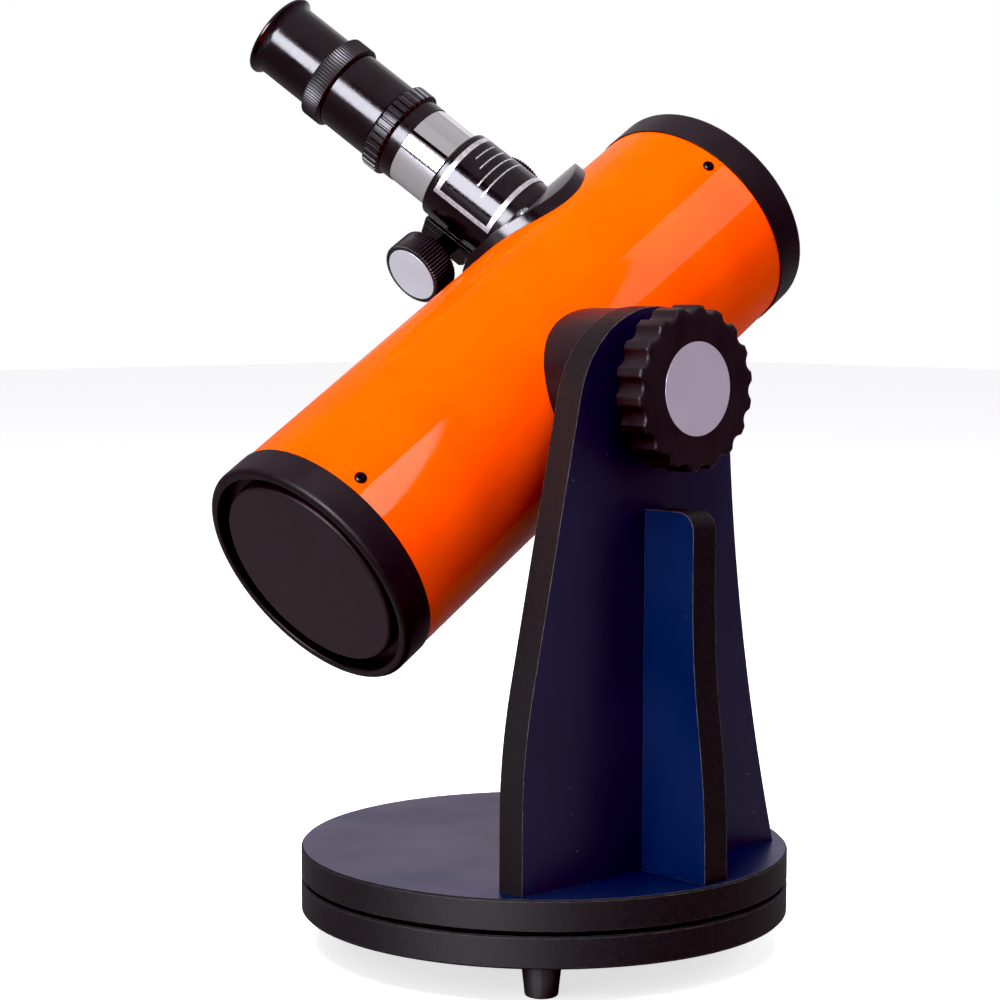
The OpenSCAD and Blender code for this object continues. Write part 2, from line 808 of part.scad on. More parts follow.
module pinion_cover() {
  e = cover_bevel;
  color(black) on_focuser() difference() {
    union() {
      translate([-spine_w, pinion_t, 0]) rotate([90, 0, 90]) linear_extrude(2 * spine_w)
        polygon([[0, cover_bottom], [cover_t - e, cover_bottom], [cover_t, cover_bottom + e],
          [cover_t, spine_top - e], [cover_t - e, spine_top], [0, spine_top]]);
      for (side = [0, 1]) mirror([side, 0, 0]) translate([0, pinion_t, pitch_h]) rotate([0, 90, 0])
        hole(shaft_boss_r, spine_w, shaft_boss_out);
    }
    pinion_room();
    at_cover_screws() hole(m3_r + slack, -cut, cover_t + cut);
  }
}

module pinion_cover_screws() {
  color(steel) on_focuser() at_cover_screws() translate([0, 0, cover_t])
    dome_screw(2.1, 1.6, m3_r, cover_t + 6);
}

module label_plate() {
  color("#3a383c") on_focuser() translate([0, 0, label_low]) rotate([0, 0, label_from])
    rotate_extrude(angle = label_sweep) translate([barrel_r + 0.02, 0])
      square([label_t, label_high - label_low]);
}

module focuser_screws() {
  color(steel) on_focuser() at_flange_screws() translate([0, 0, tube_r + flange_t - 0.65])
    dome_screw(flange_screw_head_r, 1.8, m3_r, 8.5);
}

// The pinion's frame: Z along the shaft
module on_pinion() {
  on_focuser() translate([0, pinion_t, pitch_h]) rotate([0, 90, 0]) children();
}

function pinion_pts() =
  let (base = pitch_r * cos(pressure_angle), tip = pitch_r + pinion_add,
       radii = [pitch_r - pinion_ded, base, base + (tip - base) / 3, base + (tip - base) * 2 / 3, tip])
  [for (i = [0:pinion_teeth - 1], k = [0:9])
    let (r = radii[k < 5 ? k : 9 - k],
         a = 90 + i * 360 / pinion_teeth + (k < 5 ? -1 : 1) * tooth_half_angle(r))
    [r * cos(a), r * sin(a)]];

module pinion_shaft() {
  color(steel) on_pinion() union() {
    hole(shaft_r, -focus_knob_out + 3, focus_knob_out - 3);
    translate([0, 0, -pinion_w / 2]) linear_extrude(pinion_w) polygon(pinion_pts());
  }
}

module focus_knobs() {
  low = focus_knob_out - focus_knob_l;
  color(black) on_pinion() for (side = [0, 1]) mirror([0, 0, side]) difference() {
    union() {
      translate([0, 0, low]) linear_extrude(focus_knob_l)
        polygon(rib_pts(focus_rib_count, focus_knob_r, focus_knob_r - focus_rib_depth, 2.6, 0.8));
      hole(focus_hub_r, low - 3, low + cut);
    }
    hole(focus_cap_r + 0.02, focus_knob_out - focus_cap_t, focus_knob_out + cut);
    hole(shaft_r + 0.02, low - 4, focus_knob_out - 2.9);
  }
}

module focus_knob_caps() {
  color("#c8c8dc") on_pinion() for (side = [0, 1]) mirror([0, 0, side])
    hole(focus_cap_r, focus_knob_out - focus_cap_t, focus_knob_out);
}

module drawtube() {
  step_r = eyepiece_r + 0.8;
  color("silver") on_focuser() difference() {
    hole(drawtube_r, drawtube_bottom, drawtube_top);
    hole(draw_bore_r, drawtube_bottom - cut, drawtube_top + cut);
    hole(step_r, drawtube_top - 8, drawtube_top + cut);
    translate([-rack_w / 2 - 0.02, rack_floor_t, rack_bottom - 0.02])
      cube([rack_w + 0.04, 5, rack_top - rack_bottom + 0.04]);
  }
}

function rack_pts() =
  let (pitch = PI * tooth_module, half = pitch / 4 - backlash / 2, lean = tan(pressure_angle),
       line = pinion_t - pitch_r, low = floor((rack_bottom - pitch_h) / pitch) + 1.5,
       high = floor((rack_top - pitch_h) / pitch) - 0.5)
  concat([[rack_floor_t, rack_bottom], [line - rack_ded, rack_bottom]],
    [for (k = [low:1:high], q = [0:3])
      let (root = q == 0 || q == 3, side = q < 2 ? -1 : 1)
      [line + (root ? -rack_ded : rack_add),
       pitch_h + k * pitch + side * (half + lean * (root ? rack_ded : -rack_add))]],
    [[line - rack_ded, rack_top], [rack_floor_t, rack_top]]);

module focus_rack() {
  color(brass_tone) on_focuser() translate([-rack_w / 2, 0, 0]) rotate([90, 0, 90])
    linear_extrude(rack_w) polygon(rack_pts());
}

module eyepiece_holder() {
  sleeve_r = 17.75;
  color(black) on_focuser() revolve([
    [draw_bore_r, drawtube_top - 8], [eyepiece_r + 0.78, drawtube_top - 8],
    [eyepiece_r + 0.78, drawtube_top + 0.02], [sleeve_r, drawtube_top + 0.02], [sleeve_r, holder_sleeve_top],
    [nose_r, holder_sleeve_top], [nose_r, holder_sleeve_top + 3.5], [draw_bore_r, holder_sleeve_top + 3.5]]);
}

module clamp_collet() {
  color("ivory") on_focuser() translate([0, 0, holder_sleeve_top + 3.55]) rotate([0, 0, 95])
    rotate_extrude(angle = 350) translate([draw_bore_r + 0.02, 0]) square([1.1, 3.8]);
}

module lock_ring() {
  low = holder_sleeve_top + slack;
  e = 0.8;
  color(black) on_focuser() difference() {
    intersection() {
      translate([0, 0, low]) linear_extrude(lock_top - low)
        polygon(rib_pts(lock_rib_count, lock_r, lock_r - 1, 5.2, 0.7));
      revolve([[0, low], [lock_r - e, low], [lock_r + 0.1, low + e + 0.1], [lock_r + 0.1, lock_top - e - 0.1],
        [lock_r - e, lock_top], [0, lock_top]]);
    }
    hole(nose_r + slack, low - cut, holder_sleeve_top + 3.5);
    hole(nose_r + 0.3, holder_sleeve_top + 3.4, lock_top - 1.2);
    hole(eyepiece_r + 0.2, low, lock_top + cut);
  }
}

module eyepiece_barrel() {
  color("silver") on_focuser() revolve([
    [barrel_in_r, eye_bottom + 0.6], [barrel_in_r + 0.6, eye_bottom], [eyepiece_r - 0.4, eye_bottom],
    [eyepiece_r, eye_bottom + 0.4], [eyepiece_r, body_base], [socket_r - 0.02, body_base],
    [socket_r - 0.02, body_base + barrel_thread_l], [barrel_in_r, body_base + barrel_thread_l]]);
}

module eyepiece_body() {
  spigot = grip_low + 6;
  color(black) on_focuser() revolve([
    [socket_r, body_base], [eye_low_r - 0.5, body_base], [eye_low_r, body_base + 0.5],
    [eye_low_r, grip_low], [socket_r, grip_low], [socket_r, spigot], [eye_bore_r, spigot],
    [eye_bore_r, body_base + barrel_thread_l + 0.5], [socket_r, body_base + barrel_thread_l + 0.5]]);
}

module grip_ring() {
  e = 0.9;
  color(satin_black) on_focuser() difference() {
    intersection() {
      translate([0, 0, grip_low]) linear_extrude(grip_high - grip_low)
        polygon(rib_pts(grip_rib_count, grip_r, grip_r - 0.4, 1.5, 0.9));
      revolve([[0, grip_low], [grip_r - e, grip_low], [grip_r + 0.1, grip_low + e + 0.1],
        [grip_r + 0.1, grip_high - e - 0.1], [grip_r - e, grip_high], [0, grip_high]]);
    }
    hole(socket_r + 0.02, grip_low - cut, grip_high + cut);
  }
}

module eyepiece_top() {
  flare_turn = acos(1 - (rim_r - eye_high_r) / flare_r);
  flare_rise = flare_r * sin(flare_turn);
  color(black) on_focuser() revolve(concat(
    [[top_bore_r, grip_low + 6.05], [socket_r, grip_low + 6.05], [socket_r, grip_high],
     [eye_high_r, grip_high]],
    arc_pts(eye_high_r + flare_r, rim_top - rim_edge - flare_rise, flare_r, 180, 180 - flare_turn, 8),
    arc_pts(rim_r - rim_round_r, rim_top - rim_round_r, rim_round_r, 0, 180, 8),
    [[top_bore_r + 3, rim_top - 4.1], [11, eye_cup_bottom], [eye_seat_r, eye_cup_bottom],
     [eye_seat_r, lens_seat], [lens_stop_r, lens_seat], [lens_stop_r, lens_seat - 1],
     [top_bore_r, lens_seat - 1]]));
}

module lens(r, low, high, rim_low, rim_high) {
  color("lightcyan") on_focuser() revolve(concat(
    [for (i = [0:8]) let (t = i / 8) [r * t, low + (rim_low - low) * t * t]],
    [for (i = [8:-1:0]) let (t = i / 8) [r * t, high - (high - rim_high) * t * t]]));
}

module eye_lens() {
  lens(eye_seat_r - slack, lens_seat + 0.05, eye_cup_bottom - 0.2, lens_seat + 0.1, eye_cup_bottom - 2);
}

module field_lens() {
  lens(eye_bore_r - 0.02, 139, 146, 141.4, 143.8);
}

module field_stop() {
  color(satin_black) on_focuser() ring(9.5, eye_bore_r - 0.02, focus_h - 0.5, focus_h + 0.5);
}

module lens_spacer() {
  color(satin_black) on_focuser() ring(12.6, eye_bore_r - 0.02, 144.4, grip_low + 5.95);
}

module tension_knob() {
  q = knob_round_r;
  hub_d = arm_out_d + knob_washer_t + 0.02;
  color(satin_black) facing_arm() difference() {
    revolve(concat(
      [[0, hub_d], [knob_hub_r, hub_d], [knob_hub_r, knob_back_d]],
      arc_pts(knob_r - q, knob_back_d + q, q, 270, 360, 6),
      arc_pts(knob_r - q, knob_front_d - q, q, 0, 90, 6),
      [[knob_cap_r, knob_front_d], [knob_cap_r, knob_front_d - knob_cap_t], [0, knob_front_d - knob_cap_t]]));
    for (i = [0:scallop_count - 1]) rotate([0, 0, scallop_first_angle + i * 360 / scallop_count])
      translate([knob_r + scallop_r - scallop_depth, 0, 0])
        hole(scallop_r, knob_back_d - cut, knob_front_d + cut);
    hole(stud_r + 0.02, hub_d - cut, knob_front_d - 3);
  }
}

module knob_stud() {
  color(steel) facing_arm() hole(stud_r, boss_d - insert_l + 0.5, knob_front_d - 3.02);
}

module knob_cap() {
  color(silver) facing_arm() hole(knob_cap_r - 0.02, knob_front_d - knob_cap_t + 0.01, knob_front_d);
}

module knob_washer() {
  color(steel) facing_arm() ring(stud_r + 0.3, 11, arm_out_d + 0.02, arm_out_d + knob_washer_t);
}

ground_board();
rubber_feet();
foot_screws();
pivot_bolt();
pivot_nut();
glide_pads();
turntable_board();
pivot_bush();
pivot_washer();
pivot_cap();
side_arm();
arm_gusset();
board_screws();
gusset_screws();
altitude_bush();
main_tube();
front_ring();
rear_ring();
ring_screws();
altitude_boss();
boss_insert();
boss_screws();
friction_washer();
mirror_cell();
mirror_pads();
primary_mirror();
mirror_clips();
cell_screws();
spider();
secondary_holder();
secondary_mirror();
secondary_bolt();
collimation_screws();
focuser_body();
label_plate();
focuser_screws();
pinion_cover();
pinion_cover_screws();
pinion_shaft();
focus_knobs();
focus_knob_caps();
drawtube();
focus_rack();
eyepiece_holder();
clamp_collet();
lock_ring();
eyepiece_barrel();
eyepiece_body();
grip_ring();
eyepiece_top();
field_stop();
field_lens();
lens_spacer();
eye_lens();
tension_knob();
knob_stud();
knob_cap();
knob_washer();
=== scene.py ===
"""Looks of the table-top newtonian reflector. Metres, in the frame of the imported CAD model."""

import json
import math
from collections import namedtuple

import bmesh
import bpy
from mathutils import Matrix, Quaternion, Vector


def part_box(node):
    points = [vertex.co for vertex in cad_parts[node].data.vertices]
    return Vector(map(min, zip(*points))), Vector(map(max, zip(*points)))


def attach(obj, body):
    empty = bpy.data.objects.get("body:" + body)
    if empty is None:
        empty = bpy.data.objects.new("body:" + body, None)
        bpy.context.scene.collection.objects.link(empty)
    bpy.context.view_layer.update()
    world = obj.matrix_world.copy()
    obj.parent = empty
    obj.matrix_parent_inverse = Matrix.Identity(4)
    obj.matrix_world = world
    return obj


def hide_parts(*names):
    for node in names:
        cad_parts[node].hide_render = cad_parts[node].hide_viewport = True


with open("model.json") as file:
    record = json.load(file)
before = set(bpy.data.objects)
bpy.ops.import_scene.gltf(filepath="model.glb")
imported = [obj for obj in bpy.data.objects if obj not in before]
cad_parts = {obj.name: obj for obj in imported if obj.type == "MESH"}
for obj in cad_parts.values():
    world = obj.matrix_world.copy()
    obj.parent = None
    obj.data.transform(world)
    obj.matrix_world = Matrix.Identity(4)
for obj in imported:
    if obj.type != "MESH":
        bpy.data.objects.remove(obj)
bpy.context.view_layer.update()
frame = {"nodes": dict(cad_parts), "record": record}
record = frame["record"]
nodes = frame["nodes"]
node_slot = {s["node"]: s["material_slot"] for s in record["subparts"]}
node_body = {n: b for b, members in record["behaviour"]["bodies"].items() for n in members}
joints = {j["name"]: j for j in record["behaviour"]["joints"]}

MM = 0.001
ALONG = Vector(joints["focus_knob_turn"]["axis"]).normalized()
OUTWARD = Vector(joints["focus_slide"]["axis"]).normalized()
ACROSS = OUTWARD.cross(ALONG).normalized()
LOCK_CENTRE = Vector(joints["lock_ring_turn"]["pos_m"])
KNOB_CENTRE = Vector(joints["tension_knob_turn"]["pos_m"])
KNOB_AXIS = Vector(joints["tension_knob_turn"]["axis"]).normalized()
FOCUS_CENTRE = Vector(joints["focus_knob_turn"]["pos_m"])

# Scallops round the tension knob: how many, the cutter's radius, their depth and where the first one is
SCALLOPS = 18
SCALLOP_R = 4.0 * MM
SCALLOP_DEPTH = 2.0 * MM
SCALLOP_FIRST = math.radians(4.9)
# Ribs round the focusing knobs, the eyepiece's grip ring and the lock ring
FOCUS_RIBS = 60
GRIP_RIBS = 90
LOCK_RIBS = 38
# The label's frame line, as distances from its edge, and its rules: height, start and end of each, as
# shares of half the label's height and width
FRAME_FROM, FRAME_TO = 0.3 * MM, 2.4 * MM
RULES = ((0.58, -0.1, 0.45), (0.3, -0.2, 0.55), (0.02, -0.45, 0.6), (-0.26, -0.55, 0.62))
RULE_WIDTH = 0.6 * MM
# How much of the length along a streak is taken out of the pattern that draws it. The streaks are painted
# reflections on the chrome.
STREAK = 0.985
# Gap round a cap in its recess
PLAY = 0.02 * MM


# ---------------------------------------------------------------- colours and node helpers
def srgb(code):
    """Linear colour of a hex code."""
    parts = [int(code[i:i + 2], 16) / 255 for i in (0, 2, 4)]
    return tuple(p / 12.92 if p <= 0.04045 else ((p + 0.055) / 1.055) ** 2.4 for p in parts) + (1.0,)


class Paint:
    """One node material with a principled shader and a few shorthand makers."""

    def __init__(self, name):
        self.material = bpy.data.materials.new(name)
        self.material.use_nodes = True
        self.tree = self.material.node_tree
        self.tree.nodes.clear()
        self.output = self.make("ShaderNodeOutputMaterial")
        self.shader = self.make("ShaderNodeBsdfPrincipled")
        self.tree.links.new(self.shader.outputs[0], self.output.inputs["Surface"])
        self.place = self.make("ShaderNodeTexCoord").outputs["Object"]
        self.geometry = self.make("ShaderNodeNewGeometry")

    def make(self, kind, **settings):
        node = self.tree.nodes.new(kind)
        for key, value in settings.items():
            setattr(node, key, value)
        return node

    def put(self, socket, value):
        if isinstance(value, bpy.types.NodeSocket):
            self.tree.links.new(value, socket)
        else:
            socket.default_value = value

    def set(self, **values):
        for key, value in values.items():
            self.put(self.shader.inputs[key.replace("_", " ")], value)

    def math(self, operation, a, b=0.0, clamp=False):
        node = self.make("ShaderNodeMath", operation=operation, use_clamp=clamp)
        self.put(node.inputs[0], a)
        self.put(node.inputs[1], b)
        return node.outputs[0]

    def dot(self, a, b):
        node = self.make("ShaderNodeVectorMath", operation="DOT_PRODUCT")
        self.put(node.inputs[0], a)
        self.put(node.inputs[1], b)
        return node.outputs["Value"]

    def facing(self):
        """Direction of the face in the piece's own frame, which stays the same when a joint turns it."""
        node = self.make("ShaderNodeVectorTransform", vector_type="NORMAL",
                         convert_from="WORLD", convert_to="OBJECT")
        self.put(node.inputs[0], self.geometry.outputs["True Normal"])
        return node.outputs[0]

    def span(self, value, low, high, to_low=0.0, to_high=1.0):
        """value from low..high mapped smoothly to to_low..to_high."""
        node = self.make("ShaderNodeMapRange", interpolation_type="SMOOTHSTEP")
        self.put(node.inputs["Value"], value)
        for key, number in (("From Min", low), ("From Max", high), ("To Min", to_low), ("To Max", to_high)):
            self.put(node.inputs[key], number)
        return node.outputs[0]

    def mix(self, share, a, b):
        node = self.make("ShaderNodeMix", data_type="RGBA")
        self.put(node.inputs["Factor"], share)
        self.put(node.inputs[6], a)
        self.put(node.inputs[7], b)
        return node.outputs[2]

    def noise(self, per_metre, detail=3.0, roughness=0.55):
        node = self.make("ShaderNodeTexNoise")
        self.put(node.inputs["Vector"], self.place)
        node.inputs["Scale"].default_value = per_metre
        node.inputs["Detail"].default_value = detail
        node.inputs["Roughness"].default_value = roughness
        return node.outputs["Fac"]

    def specks(self, per_metre, size):
        """1 in small scattered dots, 0 elsewhere."""
        node = self.make("ShaderNodeTexVoronoi")
        self.put(node.inputs["Vector"], self.place)
        node.inputs["Scale"].default_value = per_metre
        return self.span(node.outputs["Distance"], size, size * 0.6, 0.0, 1.0)

    def rounded(self, radius, samples=6):
        """Normal that rolls over sharp edges within radius."""
        node = self.make("ShaderNodeBevel", samples=samples)
        node.inputs["Radius"].default_value = radius
        return node.outputs[0]

    def edge(self, radius, low=0.02, high=0.25):
        """1 on sharp edges, 0 on open faces."""
        turn = self.dot(self.rounded(radius), self.geometry.outputs["True Normal"])
        return self.span(self.math("SUBTRACT", 1.0, turn), low, high)

    def bump(self, height, depth, strength=1.0, normal=None):
        node = self.make("ShaderNodeBump")
        node.inputs["Strength"].default_value = strength
        node.inputs["Distance"].default_value = depth
        self.put(node.inputs["Height"], height)
        if normal is not None:
            self.put(node.inputs["Normal"], normal)
        return node.outputs[0]


def plastic(name, colour, light, roughness, grain, grain_depth, bevel, wear=0.25, specular=0.45):
    """Moulded plastic: moulding grain, patchy sheen, rubbed edges."""
    p = Paint(name)
    patch = p.noise(60, 4)
    fine = p.noise(grain, 2, 0.6)
    tone = p.mix(p.span(patch, 0.3, 0.7), colour, light)
    if wear:
        edge = p.math("MULTIPLY", p.edge(0.5 * MM), p.span(p.noise(400, 2), 0.35, 0.7))
        tone = p.mix(p.math("MULTIPLY", edge, wear), tone, srgb("6a646c"))
    p.set(Base_Color=tone)
    sheen = p.span(patch, 0.25, 0.75, roughness * 0.86, roughness * 1.16)
    p.set(Roughness=p.math("ADD", sheen, p.span(fine, 0.3, 0.7, -0.03, 0.03)))
    p.set(Normal=p.bump(fine, grain_depth, 1.0, p.rounded(bevel) if bevel else None))
    p.set(Specular_IOR_Level=specular)
    return p


def metal(name, colour, roughness, bevel, lines=900, depth=0.004 * MM, stain_and_reflection_share=0.12, patchy=0.22,
          patches=90, along=None):
    """Plated or machined metal: fine lines and dull patches, drawn out into streaks if along is given. The
    streaks darken the colour in bands as a painted reflection.
    """
    p = Paint(name)
    if along is not None:
        run = p.make("ShaderNodeVectorMath", operation="SCALE")
        run.inputs[0].default_value = along
        p.put(run.inputs["Scale"], p.math("MULTIPLY", p.dot(p.place, along), STREAK))
        rest = p.make("ShaderNodeVectorMath", operation="SUBTRACT")
        p.put(rest.inputs[0], p.place)
        p.put(rest.inputs[1], run.outputs[0])
        p.place = rest.outputs[0]
    grain = p.noise(lines, 3, 0.6)
    patch = p.noise(patches, 4)
    # The darker tone paints stains, and on streaked chrome it paints reflections
    stain_and_reflection_tone = tuple(c * 0.72 for c in colour[:3]) + (1.0,)
    p.set(Base_Color=p.mix(p.math("MULTIPLY", p.span(patch, 0.4, 0.75), stain_and_reflection_share * 4), colour, stain_and_reflection_tone))
    p.set(Metallic=1.0)
    wobble = p.span(patch, 0.3, 0.7, roughness * (1 - patchy), roughness * (1 + patchy))
    p.set(Roughness=p.math("ADD", wobble, p.span(grain, 0.3, 0.7, -0.02, 0.02)))
    p.set(Normal=p.bump(grain, depth, 1.0, p.rounded(bevel) if bevel else None))
    return p


def board(name, face_axis, face_colour, face_light):
    """Laminated board: satin laminate on the faces across face_axis, black textured paint on the edges,
    and a thin chipped line of bare board where the two meet."""
    p = Paint(name)
    side = p.math("ABSOLUTE", p.dot(p.facing(), face_axis))
    face = p.math("GREATER_THAN", side, 0.9)
    grain = p.noise(2600, 3, 0.65)
    cloud = p.noise(22, 4)
    laminate = p.mix(p.span(cloud, 0.3, 0.7), face_colour, face_light)
    dust = p.math("MULTIPLY", p.specks(210, 0.045), p.span(p.noise(30, 2), 0.52, 0.62))
    laminate = p.mix(p.math("MULTIPLY", dust, 0.7), laminate, srgb("aab4cc"))
    paint = p.mix(p.span(p.noise(700, 3), 0.35, 0.7), srgb("080809"), srgb("121113"))
    tone = p.mix(face, paint, laminate)
    line = p.math("MULTIPLY", p.edge(0.35 * MM, 0.015, 0.12), p.span(p.noise(330, 3), 0.36, 0.56, 0.25, 1.0))
    p.set(Base_Color=p.mix(p.math("MULTIPLY", line, 0.62), tone, srgb("8d8888")))
    face_rough = p.span(cloud, 0.3, 0.7, 0.3, 0.38)
    edge_rough = p.span(grain, 0.3, 0.7, 0.5, 0.62)
    rough = p.make("ShaderNodeMix", data_type="FLOAT")
    p.put(rough.inputs["Factor"], face)
    p.put(rough.inputs[2], edge_rough)
    p.put(rough.inputs[3], face_rough)
    p.set(Roughness=rough.outputs[0], Specular_IOR_Level=0.22)
    rolled = p.rounded(0.3 * MM)
    fine = p.bump(grain, 0.006 * MM, 1.0, rolled)
    rough_paint = p.bump(p.noise(1100, 3, 0.6), 0.05 * MM, 1.0, rolled)
    pick = p.make("ShaderNodeMix", data_type="VECTOR")
    p.put(pick.inputs["Factor"], face)
    p.put(pick.inputs[4], rough_paint)
    p.put(pick.inputs[5], fine)
    p.set(Normal=pick.outputs[1])
    return p


ORANGE_DEEP = (0.93, 0.068, 0.0, 1.0)
ORANGE_LIGHT = (0.98, 0.079, 0.0, 1.0)


def enamel(name):
    """Gloss orange enamel outside the tube, flat black inside."""
    p = Paint(name)
    low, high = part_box("main_tube")
    centre = (low + high) / 2
    away = p.make("ShaderNodeVectorMath", operation="SUBTRACT")
    p.put(away.inputs[0], p.place)
    away.inputs[1].default_value = centre
    along = p.make("ShaderNodeVectorMath", operation="SCALE")
    along.inputs[0].default_value = ALONG
    p.put(along.inputs["Scale"], p.dot(away.outputs[0], ALONG))
    radial = p.make("ShaderNodeVectorMath", operation="SUBTRACT")
    p.put(radial.inputs[0], away.outputs[0])
    p.put(radial.inputs[1], along.outputs[0])
    outside = p.math("GREATER_THAN", p.dot(radial.outputs[0], p.facing()), 0.0)
    cloud = p.noise(35, 4)
    orange = p.mix(p.span(cloud, 0.3, 0.7), ORANGE_DEEP, ORANGE_LIGHT)
    dust = p.math("MULTIPLY", p.specks(420, 0.05), p.span(p.noise(60, 2), 0.58, 0.66))
    orange = p.mix(p.math("MULTIPLY", dust, 0.25), orange, srgb("ffc9a0"))
    p.set(Base_Color=p.mix(outside, srgb("0c0b0c"), orange))
    p.set(Roughness=p.span(outside, 0.0, 1.0, 0.8, 0.34))
    p.set(Coat_IOR=1.3, Specular_IOR_Level=0.0)
    p.set(Coat_Weight=p.math("MULTIPLY", outside, 0.4))
    p.set(Coat_Roughness=p.span(p.noise(120, 3), 0.3, 0.7, 0.03, 0.06))
    p.set(Coat_Normal=p.bump(p.noise(380, 2, 0.4), 0.006 * MM))
    p.set(Normal=p.bump(p.noise(1500, 2), 0.01 * MM))
    return p


def foil(name):
    """Gloss black foil with a silver frame line and a few plain silver rules."""
    p = Paint(name)
    co = [v.co for v in nodes["label_plate"].data.vertices]
    heights = [(c - LOCK_CENTRE).dot(OUTWARD) for c in co]
    angles = [math.atan2((c - LOCK_CENTRE).dot(ACROSS), (c - LOCK_CENTRE).dot(ALONG)) for c in co]
    radius = max((c - LOCK_CENTRE - OUTWARD * (c - LOCK_CENTRE).dot(OUTWARD)).length for c in co)
    away = p.make("ShaderNodeVectorMath", operation="SUBTRACT")
    p.put(away.inputs[0], p.place)
    away.inputs[1].default_value = LOCK_CENTRE
    height = p.dot(away.outputs[0], OUTWARD)
    turn = p.math("ARCTAN2", p.dot(away.outputs[0], ACROSS), p.dot(away.outputs[0], ALONG))
    middle_h, half_h = (max(heights) + min(heights)) / 2, (max(heights) - min(heights)) / 2
    middle_a, half_a = (max(angles) + min(angles)) / 2, (max(angles) - min(angles)) / 2 * radius
    from_h = p.math("SUBTRACT", half_h, p.math("ABSOLUTE", p.math("SUBTRACT", height, middle_h)))
    arc = p.math("MULTIPLY", p.math("ABSOLUTE", p.math("SUBTRACT", turn, middle_a)), radius)
    from_a = p.math("SUBTRACT", half_a, arc)
    inset = p.math("MINIMUM", from_h, from_a)
    line = p.math("MULTIPLY", p.math("GREATER_THAN", inset, FRAME_FROM), p.math("LESS_THAN", inset, FRAME_TO))
    run = p.math("MULTIPLY", p.math("SUBTRACT", turn, middle_a), radius)
    for height_share, start, end in RULES:
        off = p.math("ABSOLUTE", p.math("SUBTRACT", height, middle_h + height_share * half_h))
        after = p.math("GREATER_THAN", run, start * half_a)
        inside = p.math("MULTIPLY", after, p.math("LESS_THAN", run, end * half_a))
        rule = p.math("MULTIPLY", p.math("LESS_THAN", off, RULE_WIDTH / 2), inside)
        line = p.math("MAXIMUM", line, rule)
    silver = p.mix(p.span(p.noise(500, 3), 0.3, 0.7), srgb("dcd6dc"), srgb("bab4ba"))
    black = p.mix(p.span(p.noise(150, 3), 0.3, 0.7), srgb("0d0c0e"), srgb("151316"))
    p.set(Base_Color=p.mix(line, black, silver))
    p.set(Metallic=p.math("MULTIPLY", line, 0.85))
    wobble = p.span(p.noise(800, 2), 0.3, 0.7, -0.03, 0.03)
    p.set(Roughness=p.math("ADD", p.span(line, 0.0, 1.0, 0.11, 0.3), wobble))
    p.set(Normal=p.bump(p.noise(900, 3), 0.004 * MM), Specular_IOR_Level=0.3)
    return p


def glass(name):
    """Coated optical glass."""
    p = Paint(name)
    p.set(Base_Color=p.mix(p.noise(100, 2), srgb("e6f6f2"), srgb("dcecf6")))
    p.set(Transmission_Weight=1.0, IOR=1.52, Roughness=p.span(p.noise(700, 2), 0.3, 0.7, 0.0, 0.02))
    p.set(Coat_Weight=1.0, Coat_Tint=srgb("b7f0c8"), Coat_Roughness=0.02)
    return p


def mirror(name):
    """Aluminised glass with a little dust."""
    p = Paint(name)
    dust = p.math("MULTIPLY", p.specks(500, 0.06), 0.5)
    p.set(Base_Color=p.mix(dust, srgb("e8ecf2"), srgb("b4b0a8")), Metallic=1.0)
    haze = p.span(p.noise(200, 3), 0.3, 0.7, 0.015, 0.04)
    p.set(Roughness=p.math("ADD", haze, p.math("MULTIPLY", dust, 0.4)))
    return p


